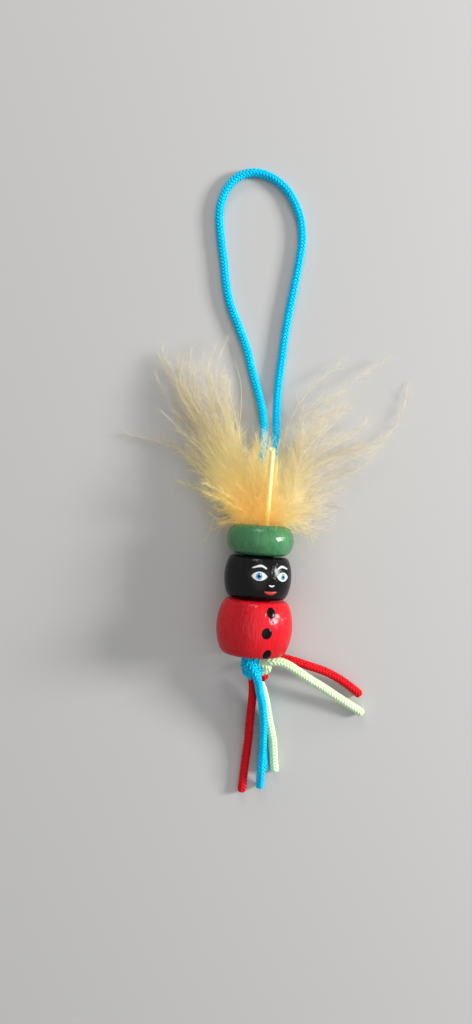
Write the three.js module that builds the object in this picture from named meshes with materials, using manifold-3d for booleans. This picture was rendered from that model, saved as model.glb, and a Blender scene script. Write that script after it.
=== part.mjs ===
// A small doll of wooden beads on a cord, lying on its back with a hanging loop at its head.
// Millimetres. The bead axis runs along +Y towards the loop, and +Z points away from the surface.
import * as THREE from "three";
import { mergeVertices } from "three/addons/utils/BufferGeometryUtils.js";
import Module from "manifold-3d";

const wasm = await Module();
wasm.setup();

// Driving sizes of the three beads
const BODY_DIAMETER = 18;
const BODY_LENGTH = 12.9;
const BODY_FACE_DIAMETER = 14;
const HEAD_DIAMETER = 16;
const HEAD_LENGTH = 9.9;
const HEAD_FACE_DIAMETER = 13.2;
const HAT_DIAMETER = 16;
const HAT_LENGTH = 7.1;
const HAT_FACE_DIAMETER = 11;
const BEAD_GAP = 0.3;
const BORE_CHAMFER = 0.4;
const BORE_CLEARANCE = 0.35;
const BARREL_ROUNDNESS = 1.4;
const HAT_ROUNDNESS = 2;

// Driving sizes of the cord and its knot
const CORD_DIAMETER = 2;
const STRAND_GAP = 0.1;
const STRAND_TAIL = 0.2;
const CORD_SIDES = 8;
const KNOT_GAP = 0.5;
const KNOT_TURNS = 2;
const KNOT_PITCH = 2.5;
const KNOT_RING_RADIUS = 1.85;
const KNOT_CORE_RADIUS = 2.3;
const KNOT_CORE_END = 0.6;
const KNOT_SIDE = 0.15;
const KNOT_DROP = 1.6;
const KNOT_STEPS_PER_TURN = 24;
const KNOT_SIDES = 6;
const BIGHT_CLEARANCE = 0.3;
// A bend of a coloured cord beside the knot: how far out from the knot's axis, how far below the body
// bead, how far above the knot's middle, and its half sizes
const GREEN_BIGHT = { out: 3.35, below: 3.85, above: 1.7, halves: [1.3, 1.2, 1.2] };
const RED_BIGHT = { out: 3.25, below: 5.95, above: 0.5, halves: [1.1, 1, 1.05] };
const LOOP_STEPS = 76;
const LIMB_STEPS = 16;

// Driving sizes of the feather
const QUILL_DIAMETER = 0.9;
const QUILL_TIP_DIAMETER = 1.3;
const QUILL_SIDE = 1.2;
const QUILL_CLEARANCE = 0.12;
const QUILL_HEIGHT_ABOVE_HAT = 17.7;
const QUILL_RISE = 4;
const QUILL_BOTTOM_GAP = 0.35;
const SHAFT_SIDE = 1;
const SHAFT_ABOVE_HAT = 1.2;
const PLUME_SIDES = 8;
const PLUME_STEPS = 10;
const DOWN_RADII = [3.6, 5, 4.3];
const DOWN_SIDE = 6.1;
const DOWN_ABOVE_HAT = 5.5;
const DOWN_HEIGHT = 7;

// Sizes that follow from the driving ones
const CORD_RADIUS = CORD_DIAMETER / 2;
const BODY_AXIS_HEIGHT = BODY_DIAMETER / 2;
const HEAD_AXIS_HEIGHT = HEAD_DIAMETER / 2;
const HAT_AXIS_HEIGHT = HAT_DIAMETER / 2;
const HEAD_BOTTOM = BODY_LENGTH + BEAD_GAP;
const HAT_BOTTOM = HEAD_BOTTOM + HEAD_LENGTH + BEAD_GAP;
const HAT_TOP = HAT_BOTTOM + HAT_LENGTH;
const STRAND_SIDE = CORD_RADIUS + STRAND_GAP / 2;
const STRAND_HEIGHT = (BODY_AXIS_HEIGHT + HEAD_AXIS_HEIGHT) / 2;
const QUILL_RADIUS = QUILL_DIAMETER / 2;
const QUILL_ROOT_HEIGHT = STRAND_HEIGHT + CORD_RADIUS + QUILL_RADIUS + QUILL_CLEARANCE;
const KNOT_HEIGHT = STRAND_HEIGHT - KNOT_DROP;
const KNOT_START = -KNOT_GAP - CORD_RADIUS;
const KNOT_LENGTH = KNOT_TURNS * KNOT_PITCH;
const KNOT_OUTER_RADIUS = KNOT_RING_RADIUS + CORD_RADIUS;

// Colours and finishes
const bodyLacquer = new THREE.MeshStandardMaterial({ color: 0xc4161c, roughness: 0.35, metalness: 0 });
const headLacquer = new THREE.MeshStandardMaterial({ color: 0x0b0b0f, roughness: 0.18, metalness: 0 });
const hatLacquer = new THREE.MeshStandardMaterial({ color: 0x2f7a3c, roughness: 0.25, metalness: 0 });
const blueCord = new THREE.MeshStandardMaterial({ color: 0x0096d8, roughness: 0.7, metalness: 0 });
const redCord = new THREE.MeshStandardMaterial({ color: 0xd0101c, roughness: 0.7, metalness: 0 });
const greenCord = new THREE.MeshStandardMaterial({ color: 0xc2f59a, roughness: 0.7, metalness: 0 });
const quillHorn = new THREE.MeshStandardMaterial({ color: 0xf0b428, roughness: 0.4, metalness: 0 });
const featherDown = new THREE.MeshStandardMaterial({ color: 0xe8b45c, roughness: 0.95, metalness: 0 });

// Solid helpers
function toSolid(geometry) {
  const bare = geometry.clone();
  bare.deleteAttribute("normal");
  bare.deleteAttribute("uv");
  const merged = mergeVertices(bare, 1e-4);
  return new wasm.Manifold(
    new wasm.Mesh({
      numProp: 3,
      vertProperties: new Float32Array(merged.attributes.position.array),
      triVerts: new Uint32Array(merged.index.array),
    }),
  );
}

function toGeometry(solid) {
  const mesh = solid.getMesh();
  const geometry = new THREE.BufferGeometry();
  geometry.setAttribute("position", new THREE.BufferAttribute(mesh.vertProperties, 3));
  geometry.setIndex(new THREE.BufferAttribute(mesh.triVerts, 1));
  geometry.computeVertexNormals();
  return geometry;
}

function joined(geometries) {
  return toGeometry(geometries.map(toSolid).reduce((sum, solid) => sum.add(solid)));
}

function named(name, geometry, material) {
  const mesh = new THREE.Mesh(geometry, material);
  mesh.name = name;
  return mesh;
}

// A bored bead about the Y axis, from y = 0 to its length. A roundness of 2 makes the side half an ellipse.
function beadGeometry(length, diameter, faceDiameter, roundness, boreRadius) {
  const profileSteps = 12;
  const faceRadius = faceDiameter / 2;
  const crown = diameter / 2 - faceRadius;
  const profile = [];
  for (let i = 0; i <= profileSteps; i++) {
    const along = -Math.cos((Math.PI * i) / profileSteps);
    const swell = Math.pow(Math.max(0, 1 - along * along), 1 / roundness);
    profile.push(new THREE.Vector2(faceRadius + crown * swell, (length * (1 + along)) / 2));
  }
  profile.push(new THREE.Vector2(boreRadius + BORE_CHAMFER, length));
  profile.push(new THREE.Vector2(boreRadius, length - BORE_CHAMFER));
  profile.push(new THREE.Vector2(boreRadius, BORE_CHAMFER));
  profile.push(new THREE.Vector2(boreRadius + BORE_CHAMFER, 0));
  profile.push(profile[0].clone());
  return new THREE.LatheGeometry(profile, 40);
}

// The bore that clears both strands of the cord, whose height differs from the bead's own axis
function strandBore(axisHeight) {
  return Math.hypot(STRAND_SIDE, axisHeight - STRAND_HEIGHT) + CORD_RADIUS + BORE_CLEARANCE;
}

// A tube with flat ends along a smooth curve through the points
function tubeGeometry(points, radius, sides, steps) {
  const section = new THREE.Shape();
  for (let i = 0; i < sides; i++) {
    const angle = (2 * Math.PI * (i + 0.5)) / sides;
    const x = radius * Math.cos(angle);
    const y = radius * Math.sin(angle);
    if (i === 0) section.moveTo(x, y);
    else section.lineTo(x, y);
  }
  section.closePath();
  const curve = new THREE.CatmullRomCurve3(points, false, "centripetal");
  return new THREE.ExtrudeGeometry(section, { steps, extrudePath: curve, bevelEnabled: false });
}

// A closed body of elliptical rings. A station is its centre, half width across and half height.
function plumeGeometry(stations) {
  const centres = stations.map((s) => new THREE.Vector3(s[0], s[1], s[2]));
  const curve = new THREE.CatmullRomCurve3(centres, false, "centripetal");
  const positions = [];
  const indices = [];
  for (let i = 0; i <= PLUME_STEPS; i++) {
    const t = i / PLUME_STEPS;
    const place = t * (stations.length - 1);
    const low = Math.min(Math.floor(place), stations.length - 2);
    const share = place - low;
    const halfWidth = stations[low][3] * (1 - share) + stations[low + 1][3] * share;
    const halfHeight = stations[low][4] * (1 - share) + stations[low + 1][4] * share;
    const centre = curve.getPoint(t);
    const ahead = curve.getTangent(t);
    const across = new THREE.Vector3(ahead.y, -ahead.x, 0).normalize();
    const up = new THREE.Vector3().crossVectors(across, ahead);
    for (let j = 0; j < PLUME_SIDES; j++) {
      const angle = (2 * Math.PI * j) / PLUME_SIDES;
      const point = centre.clone();
      point.addScaledVector(across, halfWidth * Math.cos(angle));
      point.addScaledVector(up, halfHeight * Math.sin(angle));
      positions.push(point.x, point.y, point.z);
    }
  }
  for (let i = 0; i < PLUME_STEPS; i++) {
    for (let j = 0; j < PLUME_SIDES; j++) {
      const a = i * PLUME_SIDES + j;
      const b = i * PLUME_SIDES + ((j + 1) % PLUME_SIDES);
      indices.push(a, b + PLUME_SIDES, b, a, a + PLUME_SIDES, b + PLUME_SIDES);
    }
  }
  const last = PLUME_STEPS * PLUME_SIDES;
  for (let j = 1; j < PLUME_SIDES - 1; j++) {
    indices.push(0, j, j + 1);
    indices.push(last, last + j + 1, last + j);
  }
  const geometry = new THREE.BufferGeometry();
  geometry.setAttribute("position", new THREE.Float32BufferAttribute(positions, 3));
  geometry.setIndex(indices);
  return geometry;
}

function ellipsoidGeometry(radii, centre) {
  const geometry = new THREE.SphereGeometry(1, 14, 10);
  geometry.scale(...radii);
  geometry.translate(...centre);
  return geometry;
}

// Heights along a cord run from its own radius, on the surface, to the strands' height inside the beads
function cordPoint([x, y, heightShare], yFrom = 0) {
  return new THREE.Vector3(x, yFrom + y, CORD_RADIUS + heightShare * (STRAND_HEIGHT - CORD_RADIUS));
}

// Beads
function makeBeads() {
  const beads = new THREE.Group();
  const bodyBore = strandBore(BODY_AXIS_HEIGHT);
  const headBore = strandBore(HEAD_AXIS_HEIGHT);
  const quillReach = Math.hypot(QUILL_SIDE, QUILL_ROOT_HEIGHT - HAT_AXIS_HEIGHT) + QUILL_RADIUS;
  const hatBore = Math.max(strandBore(HAT_AXIS_HEIGHT), quillReach + BORE_CLEARANCE);
  const body = named(
    "body_bead",
    beadGeometry(BODY_LENGTH, BODY_DIAMETER, BODY_FACE_DIAMETER, BARREL_ROUNDNESS, bodyBore),
    bodyLacquer,
  );
  body.position.set(0, 0, BODY_AXIS_HEIGHT);
  const head = named(
    "head_bead",
    beadGeometry(HEAD_LENGTH, HEAD_DIAMETER, HEAD_FACE_DIAMETER, BARREL_ROUNDNESS, headBore),
    headLacquer,
  );
  head.position.set(0, HEAD_BOTTOM, HEAD_AXIS_HEIGHT);
  const hat = named(
    "hat_bead",
    beadGeometry(HAT_LENGTH, HAT_DIAMETER, HAT_FACE_DIAMETER, HAT_ROUNDNESS, hatBore),
    hatLacquer,
  );
  hat.position.set(0, HAT_BOTTOM, HAT_AXIS_HEIGHT);
  beads.add(body, head, hat);
  return beads;
}

// The hanging loop's route, from the left strand round to the right one. Each point is its x, its
// distance above the hat's top face and its share of the strands' height.
const LOOP_ROUTE = [
  [-STRAND_SIDE, BEAD_GAP, 1],
  [-STRAND_SIDE, 4, 0.96],
  [-0.95, 9, 0.8],
  [-0.85, 15, 0.59],
  [-0.85, 21.5, 0.38],
  [-1.5, 27, 0.2],
  [-2.9, 32, 0.06],
  [-4.8, 37.4, 0],
  [-6.6, 43, 0],
  [-9.3, 49, 0],
  [-11.4, 53.5, 0],
  [-12.9, 58.7, 0],
  [-13.8, 64, 0],
  [-15, 70, 0],
  [-15.8, 76, 0],
  [-15.1, 80.5, 0],
  [-13.4, 83.8, 0],
  [-10.9, 85.9, 0],
  [-7.9, 86.7, 0],
  [-4.9, 86.3, 0],
  [-2, 85, 0],
  [0.6, 82.8, 0],
  [2.7, 79.8, 0],
  [4.4, 75.8, 0],
  [5.1, 71, 0],
  [4.8, 66, 0],
  [4.1, 60, 0],
  [3.3, 54, 0],
  [2.7, 48.5, 0],
  [2.3, 42.5, 0],
  [1.95, 37, 0.02],
  [1.8, 32, 0.08],
  [1.9, 27, 0.21],
  [2.1, 21.5, 0.39],
  [1.8, 15, 0.6],
  [1.4, 9, 0.81],
  [STRAND_SIDE, 4, 0.96],
  [STRAND_SIDE, BEAD_GAP, 1],
];

// The red arm's fixed root, from the knot out along the body bead's lower face
const RED_ARM_ROOT = [
  [4.2, -2.5, 0.6],
  [5.4, -1.85, 0.59],
  [6.75, -1.5, 0.57],
];

// Cord: the loop, its two strands through the beads, and the knot that carries the beads
function makeStrand(name, side) {
  const points = [
    new THREE.Vector3(side, -STRAND_TAIL, STRAND_HEIGHT),
    new THREE.Vector3(side, HAT_TOP / 2, STRAND_HEIGHT),
    new THREE.Vector3(side, HAT_TOP, STRAND_HEIGHT),
  ];
  return named(name, tubeGeometry(points, CORD_RADIUS, CORD_SIDES, 6), blueCord);
}

function knotPoints() {
  const count = KNOT_TURNS * KNOT_STEPS_PER_TURN;
  const points = [];
  for (let i = 0; i <= count; i++) {
    const angle = (2 * Math.PI * i) / KNOT_STEPS_PER_TURN + Math.PI / 2;
    points.push(
      new THREE.Vector3(
        KNOT_SIDE + KNOT_RING_RADIUS * Math.cos(angle),
        KNOT_START - (KNOT_LENGTH * i) / count,
        KNOT_HEIGHT + KNOT_RING_RADIUS * Math.sin(angle),
      ),
    );
  }
  return points;
}

function reportKnotGap(points) {
  let least = Infinity;
  for (let i = 0; i < points.length; i++) {
    for (let j = i + KNOT_STEPS_PER_TURN / 2; j < points.length; j++) {
      least = Math.min(least, points[i].distanceTo(points[j]) - CORD_DIAMETER);
    }
  }
  console.log("least gap between the knot's turns, mm: " + least.toFixed(2));
}

function makeKnot() {
  const points = knotPoints();
  reportKnotGap(points);
  const turns = tubeGeometry(points, CORD_RADIUS, KNOT_SIDES, KNOT_TURNS * KNOT_STEPS_PER_TURN);
  const coreCentre = [KNOT_SIDE, KNOT_START - KNOT_LENGTH / 2, KNOT_HEIGHT];
  const coreRadii = [KNOT_CORE_RADIUS, KNOT_LENGTH / 2 + KNOT_CORE_END, KNOT_CORE_RADIUS];
  const core = ellipsoidGeometry(coreRadii, coreCentre);
  return named("blue_knot", joined([turns, core]), blueCord);
}

// A short bend of the coloured cord that bulges out of the knot's right side
function makeBight(name, { out, below, above, halves }, material) {
  const cutter = new THREE.CylinderGeometry(
    KNOT_OUTER_RADIUS + BIGHT_CLEARANCE,
    KNOT_OUTER_RADIUS + BIGHT_CLEARANCE,
    KNOT_LENGTH * 3,
    32,
  );
  cutter.translate(KNOT_SIDE, KNOT_START - KNOT_LENGTH / 2, KNOT_HEIGHT);
  const bulge = ellipsoidGeometry(halves, [KNOT_SIDE + out, -below, KNOT_HEIGHT + above]);
  return named(name, toGeometry(toSolid(bulge).subtract(toSolid(cutter))), material);
}

function makeStrands() {
  const strands = new THREE.Group();
  strands.add(makeStrand("left_strand", -STRAND_SIDE));
  strands.add(makeStrand("right_strand", STRAND_SIDE));
  return strands;
}

function makeCord() {
  const cord = new THREE.Group();
  const loopPoints = LOOP_ROUTE.map((point) => cordPoint(point, HAT_TOP));
  cord.add(named("hanging_loop", tubeGeometry(loopPoints, CORD_RADIUS, CORD_SIDES, LOOP_STEPS), blueCord));
  cord.add(makeKnot());
  cord.add(makeBight("green_bight", GREEN_BIGHT, greenCord));
  cord.add(makeBight("red_bight", RED_BIGHT, redCord));
  const rootPoints = RED_ARM_ROOT.map((point) => cordPoint(point));
  cord.add(named("red_arm_root", tubeGeometry(rootPoints, CORD_RADIUS, CORD_SIDES, 4), redCord));
  return cord;
}

// Limbs: six cut cord ends. Each route starts at its pivot and is x, y from the body's lower face,
// and the share of the strands' height.
const LIMBS = [
  {
    name: "blue_leg_front",
    material: blueCord,
    route: [
      [1.9, -8.9, 0.96],
      [3, -12.1, 0.83],
      [3.75, -16.8, 0.57],
      [4.2, -21.9, 0.37],
      [4.4, -26.2, 0.295],
      [4.45, -30.2, 0.27],
      [4.5, -32.5, 0.13],
      [4.5, -34.3, 0.01],
    ],
  },
  {
    name: "blue_leg_back",
    material: blueCord,
    route: [
      [2.3, -8.9, 0.37],
      [3.4, -12.2, 0.23],
      [4.3, -16.5, 0.07],
      [4.85, -22.6, 0],
      [5.2, -28.8, 0],
      [5.3, -30.2, 0],
    ],
  },
  {
    name: "red_leg",
    material: redCord,
    route: [
      [0.9, -8.9, 0.61],
      [0.95, -12, 0.48],
      [0.85, -17.3, 0.28],
      [0.8, -22.6, 0.12],
      [0.45, -29, 0.01],
      [0.25, -32.9, 0],
      [0.1, -35.8, 0],
    ],
  },
  {
    name: "green_leg",
    material: greenCord,
    route: [
      [3.2, -8.9, 0.69],
      [4.1, -11.7, 0.57],
      [5.3, -16.5, 0.34],
      [6.8, -22.2, 0.13],
      [7.7, -28.6, 0],
      [8.05, -30.3, 0],
    ],
  },
  {
    name: "green_arm",
    material: greenCord,
    route: [
      [4.4, -1.45, 1.11],
      [6.8, -1.5, 1.07],
      [9.2, -2.5, 0.97],
      [11.3, -3.8, 0.85],
      [14.4, -5.8, 0.67],
      [17.6, -7.65, 0.49],
      [20.8, -9.6, 0.33],
      [24.1, -11.6, 0.17],
      [27.3, -13.5, 0.04],
      [28.6, -14.3, 0],
    ],
  },
  {
    name: "red_arm",
    material: redCord,
    route: [
      [8.1, -1.4, 0.56],
      [9.85, -1.7, 0.54],
      [11.4, -2.1, 0.51],
      [14.4, -3, 0.41],
      [17.5, -3.9, 0.31],
      [20.6, -5.2, 0.2],
      [23.8, -7, 0.1],
      [26.8, -9.1, 0.02],
      [27.7, -9.8, 0],
    ],
  },
];

function makeLimb({ name, material, route }) {
  const pivot = cordPoint(route[0]);
  const points = route.map((point) => cordPoint(point).sub(pivot));
  const ball = new THREE.SphereGeometry(CORD_RADIUS, 10, 8);
  const tube = tubeGeometry(points, CORD_RADIUS, CORD_SIDES, LIMB_STEPS);
  const limb = named(name, joined([tube, ball]), material);
  limb.position.copy(pivot);
  return limb;
}

function makeLimbs() {
  const limbs = new THREE.Group();
  limbs.add(...LIMBS.map(makeLimb));
  return limbs;
}

// Feather: one marabou feather doubled in the hat's hole. Its bare quill stands up in front and its
// downy end fans out on both sides. A plume's station is x, distance above the hat's top face,
// height, half width and half height.
const LEFT_PLUMES = [
  [
    [-5, 3, 6.5, 1.2, 1.2],
    [-9.2, 11.5, 5.8, 2.3, 1.3],
    [-13.5, 20.5, 4.4, 2.3, 1],
    [-19.4, 27.2, 3.4, 1.9, 0.8],
    [-24.4, 35, 2.2, 1.3, 0.6],
    [-27.6, 41.6, 1.4, 0.4, 0.3],
  ],
  [
    [-5, 3.5, 7.2, 1.2, 1.2],
    [-8.2, 13.5, 6.4, 2.2, 1.3],
    [-13.5, 22.7, 5.2, 2.2, 1],
    [-17.8, 29.5, 4.4, 1.8, 0.8],
    [-19.8, 35, 4, 1.4, 0.6],
    [-19.6, 42, 3.6, 0.4, 0.3],
  ],
  [
    [-4.6, 3.5, 7.6, 1.1, 1.2],
    [-6.9, 13.5, 6.9, 1.9, 1.3],
    [-10.3, 23.9, 5.2, 2.1, 1],
    [-12.7, 30.5, 4.2, 1.7, 0.8],
    [-13.7, 37.5, 3.6, 1.3, 0.6],
    [-11.6, 45.5, 3.2, 0.4, 0.3],
  ],
  [
    [-5, 2.5, 5.8, 1.2, 1.2],
    [-9.5, 8.5, 5, 2.3, 1.3],
    [-15, 12.8, 4, 2.4, 1],
    [-22.4, 17.4, 2.3, 1.8, 0.8],
    [-27.8, 18.8, 1.3, 1.2, 0.6],
    [-34.5, 19.9, 0.6, 0.4, 0.3],
  ],
  [
    [-5.2, 2.6, 5, 1.1, 1],
    [-9.5, 4.6, 4, 1.9, 1.2],
    [-14.5, 7, 2.2, 1.7, 0.9],
    [-21, 9, 0.6, 0.4, 0.3],
  ],
];

const RIGHT_PLUMES = [
  [
    [5, 3.5, 7.6, 1, 1.2],
    [6, 12, 6.9, 1.7, 1.3],
    [7.7, 21.5, 5.2, 2, 1],
    [11.2, 28.2, 4.4, 1.8, 0.8],
    [19.5, 36.2, 3, 1.5, 0.6],
    [28.5, 43.5, 2, 0.4, 0.3],
  ],
  [
    [5.4, 3, 5.8, 1.2, 1.2],
    [9.2, 12, 5, 2.2, 1.3],
    [14, 15.8, 4.2, 2.2, 1],
    [21, 19.2, 3.4, 1.9, 0.8],
    [27.4, 22, 2.3, 1.6, 0.7],
    [31.5, 26.2, 1.6, 1.3, 0.6],
    [33.6, 32.5, 1, 0.9, 0.5],
    [34.1, 37.5, 0.6, 0.4, 0.3],
  ],
  [
    [5, 3.5, 8, 1, 1.2],
    [5.9, 13, 7.6, 1.6, 1.3],
    [6.7, 21, 6.6, 1.4, 0.9],
    [7.8, 29.5, 5.6, 0.4, 0.3],
  ],
  [
    [5.4, 3, 7, 1.2, 1.2],
    [9, 13, 6.4, 2.2, 1.3],
    [14.8, 20.2, 5.2, 2, 1],
    [22.5, 25.8, 4.2, 0.5, 0.3],
  ],
  [
    [5.4, 2.5, 5, 1.2, 1.2],
    [9.5, 7.5, 4.4, 2.3, 1.3],
    [14, 11.2, 3.4, 2.1, 1],
    [18.9, 14.3, 1.8, 1.5, 0.7],
    [23.5, 15.7, 0.7, 0.4, 0.3],
  ],
  [
    [5.5, 2.4, 4.6, 1.1, 1],
    [9.5, 4.5, 3.8, 1.8, 1.1],
    [14, 6, 2, 1.6, 0.8],
    [19.6, 6.9, 0.6, 0.4, 0.3],
  ],
];

const FRONT_DOWN = [
  [0.2, 4.5, 9.7, 1.2, 0.4],
  [0.2, 8, 9.6, 2, 1],
  [0.3, 12, 9.6, 2.5, 1.4],
  [0.4, 16, 9.5, 2.6, 1.6],
  [0.5, 20.5, 9, 0.6, 0.4],
];

const BACK_DOWN = [
  [0.2, 0.5, 5.2, 1.6, 1.3],
  [0.2, 5.5, 4.4, 2, 2],
  [0.3, 11.5, 3.2, 2.2, 1.4],
  [0.6, 17.5, 1.9, 2, 0.7],
  [0.6, 22.5, 1.3, 0.5, 0.3],
];

// The bare quill goes down into the hat's hole, turns and comes up again as the downy shaft
function makeQuill() {
  const bottom = HAT_BOTTOM + QUILL_BOTTOM_GAP + QUILL_RADIUS;
  const tip = new THREE.Vector3(
    QUILL_SIDE - 0.2,
    HAT_TOP + QUILL_HEIGHT_ABOVE_HAT,
    QUILL_ROOT_HEIGHT + QUILL_RISE,
  );
  const mouth = new THREE.Vector3(QUILL_SIDE, HAT_TOP, QUILL_ROOT_HEIGHT);
  const bendPoints = [
    mouth.clone(),
    new THREE.Vector3(QUILL_SIDE, HAT_TOP - HAT_LENGTH / 2, QUILL_ROOT_HEIGHT),
    new THREE.Vector3(QUILL_SIDE * 0.85, bottom + 0.7, QUILL_ROOT_HEIGHT),
    new THREE.Vector3((QUILL_SIDE - SHAFT_SIDE) / 2, bottom, QUILL_ROOT_HEIGHT),
    new THREE.Vector3(-SHAFT_SIDE * 0.85, bottom + 0.7, QUILL_ROOT_HEIGHT),
    new THREE.Vector3(-SHAFT_SIDE, HAT_TOP - HAT_LENGTH / 2, QUILL_ROOT_HEIGHT),
    new THREE.Vector3(-SHAFT_SIDE, HAT_TOP + SHAFT_ABOVE_HAT, QUILL_ROOT_HEIGHT),
  ];
  const bend = tubeGeometry(bendPoints, QUILL_RADIUS, CORD_SIDES, 22);
  const stemLength = tip.distanceTo(mouth);
  const stem = new THREE.CylinderGeometry(QUILL_TIP_DIAMETER / 2, QUILL_RADIUS, stemLength, CORD_SIDES);
  const along = tip.clone().sub(mouth).normalize();
  stem.applyQuaternion(new THREE.Quaternion().setFromUnitVectors(new THREE.Vector3(0, 1, 0), along));
  const middle = tip.clone().add(mouth).multiplyScalar(0.5);
  stem.translate(middle.x, middle.y, middle.z);
  return named("feather_quill", joined([bend, stem]), quillHorn);
}

function raised(stations) {
  return stations.map(([x, y, ...rest]) => [x, HAT_TOP + y, ...rest]);
}

function makeVane(name, plumes, side) {
  const down = ellipsoidGeometry(DOWN_RADII, [side * DOWN_SIDE, HAT_TOP + DOWN_ABOVE_HAT, DOWN_HEIGHT]);
  const blades = plumes.map((stations) => plumeGeometry(raised(stations)));
  return named(name, joined([down, ...blades]), featherDown);
}

function makeFeather() {
  const feather = new THREE.Group();
  feather.add(makeQuill());
  feather.add(makeVane("feather_left_vane", LEFT_PLUMES, -1));
  feather.add(makeVane("feather_right_vane", RIGHT_PLUMES, 1));
  feather.add(named("feather_front_down", plumeGeometry(raised(FRONT_DOWN)), featherDown));
  feather.add(named("feather_back_down", plumeGeometry(raised(BACK_DOWN)), featherDown));
  return feather;
}

// The origin is under the middle of the beads, the strands that they hide and the feather, on the
// surface that the doll lies on
const stack = new THREE.Group();
stack.add(makeBeads(), makeStrands(), makeFeather());
const stackBox = new THREE.Box3().setFromObject(stack);
const stackMiddle = stackBox.getCenter(new THREE.Vector3());
const doll = new THREE.Group();
doll.add(stack, makeCord(), makeLimbs());
doll.position.set(-stackMiddle.x, -stackMiddle.y, -stackBox.min.z);

export default doll;
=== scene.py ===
import math

import bpy
import numpy as np
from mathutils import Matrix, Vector


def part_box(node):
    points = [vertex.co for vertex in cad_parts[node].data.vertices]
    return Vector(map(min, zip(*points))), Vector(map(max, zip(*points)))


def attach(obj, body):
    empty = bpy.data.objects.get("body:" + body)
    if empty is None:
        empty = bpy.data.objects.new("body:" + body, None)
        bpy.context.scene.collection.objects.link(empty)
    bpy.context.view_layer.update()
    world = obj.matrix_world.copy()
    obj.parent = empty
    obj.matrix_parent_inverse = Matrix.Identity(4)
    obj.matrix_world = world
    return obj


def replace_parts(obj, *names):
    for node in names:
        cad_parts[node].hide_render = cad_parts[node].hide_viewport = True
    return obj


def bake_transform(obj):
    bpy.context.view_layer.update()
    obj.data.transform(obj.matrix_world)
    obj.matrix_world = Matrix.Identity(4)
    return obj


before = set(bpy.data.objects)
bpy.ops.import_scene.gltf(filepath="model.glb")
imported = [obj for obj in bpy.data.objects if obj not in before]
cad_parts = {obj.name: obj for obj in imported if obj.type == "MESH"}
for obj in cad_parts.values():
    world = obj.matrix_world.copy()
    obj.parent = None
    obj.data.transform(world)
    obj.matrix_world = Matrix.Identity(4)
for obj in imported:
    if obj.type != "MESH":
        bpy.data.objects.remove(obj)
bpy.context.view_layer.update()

# A small doll of lacquered wooden beads on braided cords, lying on its back on a pale floor.
# Sizes are millimetres, and angles degrees, unless a comment says otherwise. x runs across the doll,
# y from the body bead's lower face towards the hanging loop, and z up from the floor. The frame's
# boxes say where that is in the model.

MM = 0.001

# Camera, from the photograph's frame
SENSOR_LONG_SIDE = 36
LENS = 27
CAMERA_PLACE = (-6.29, 33.13, 191)
NEAREST_SEEN = 5
DOLL_LEAN = 4.2

# Floor, background and light. A lamp has its place and aim in the frame, and its width, in metres,
# and its power in watts.
FLOOR_WIDTH = 3000
FLOOR_COLOUR = (0.54, 0.53, 0.515)
FLOOR_ROUGHNESS = 0.8
BACKGROUND_COLOUR = (0.6, 0.6, 0.59)
SKY_COLOUR = (0.93, 0.96, 1)
SKY_STRENGTH = 0.3
LAMPS = {
    "window_right": ((0.63, 0.13, 0.27), (0, 0, 0.005), 0.16, 5.7),
    "window_top": ((-0.08, 0.68, 0.36), (0, 0, 0.005), 0.18, 1.3),
    "ceiling": ((0.1, 0.1, 0.9), (0, 0, 0), 1.1, 2.8),
}

# Beads, by body: the diameter of the end faces, the radius of the bore, how round the side is, the
# collars round the bore at the lower and at the upper end, and the lacquer
BEAD_COLLAR = 0.12
BEADS = {
    "body": (14, 2.5, 1.4, (0, BEAD_COLLAR), "red"),
    "head": (13.2, 2.55, 1.4, (BEAD_COLLAR, BEAD_COLLAR), "black"),
    "hat": (11, 3.4, 2, (BEAD_COLLAR, 0), "green"),
}
BEAD_EDGE_RADIUS = 0.35
BEAD_SIDES = 128
BEAD_STEPS = 40
# The bore's rounded mouth: how far out from the bore, how deep, and how much of the collar it has
BORE_MOUTH = [(0, 0.5, 0), (0.08, 0.15, 1), (0.3, 0.01, 1), (0.6, 0, 1), (1.1, 0, 0)]

# The face, at an angle from the top of the head towards +x. An eye's spots have x and y from its
# middle, width, height, relief and paint.
FACE_ANGLE = 23
EYE_SPREAD = 3.1
EYE_Y = 18.9
EYE_SPOTS = {
    "eye_white": (0, 0, 3.7, 2.1, 0.07, "white"),
    "iris": (-0.05, 0.03, 1.75, 1.75, 0.1, "blue"),
    "pupil": (-0.05, 0.03, 0.9, 0.95, 0.13, "black"),
    "glint": (0.2, 0.33, 0.36, 0.3, 0.16, "white"),
}
# Brush strokes: points, half widths along them, relief and paint. The brow's points are those of
# the right one, from its eye's middle.
BROW = ([(-1.7, 1.75), (-0.3, 2.35), (1.9, 1.8)], (0.2, 0.3, 0.14), 0.08, "white")
NOSE = ([(-0.75, 17), (0, 16.7), (0.75, 17)], (0.1, 0.22, 0.1), 0.08, "white")
MOUTH = ([(-1.7, 15.42), (-0.7, 15.1), (0.7, 15.1), (1.7, 15.42)], (0.14, 0.42, 0.42, 0.14), 0.1, "red")
# Buttons: angle from the top of the body towards +x, y, width, height and lean
BUTTONS = [(24.1, 10.81, 2.3, 2.5, 10), (17.6, 6.23, 2.4, 2.6, -15), (23.5, 1.15, 2.3, 2.6, 5)]
BUTTON_RELIEF = 0.22
OVAL_POINTS = 40
ALMOND_POINTS = 48
ALMOND_SHARPNESS = 1.5
# A spot's rings: shares of its outline up its dome, then shares and lifts of its rim and underside
DOME_RINGS = np.array([0.05, 0.3, 0.55, 0.75, 0.9, 0.98])
DOME_ROUNDNESS = 0.35
UNDER_RINGS = [(1, -0.02), (0.9, -0.1), (0.05, -0.1)]
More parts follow.
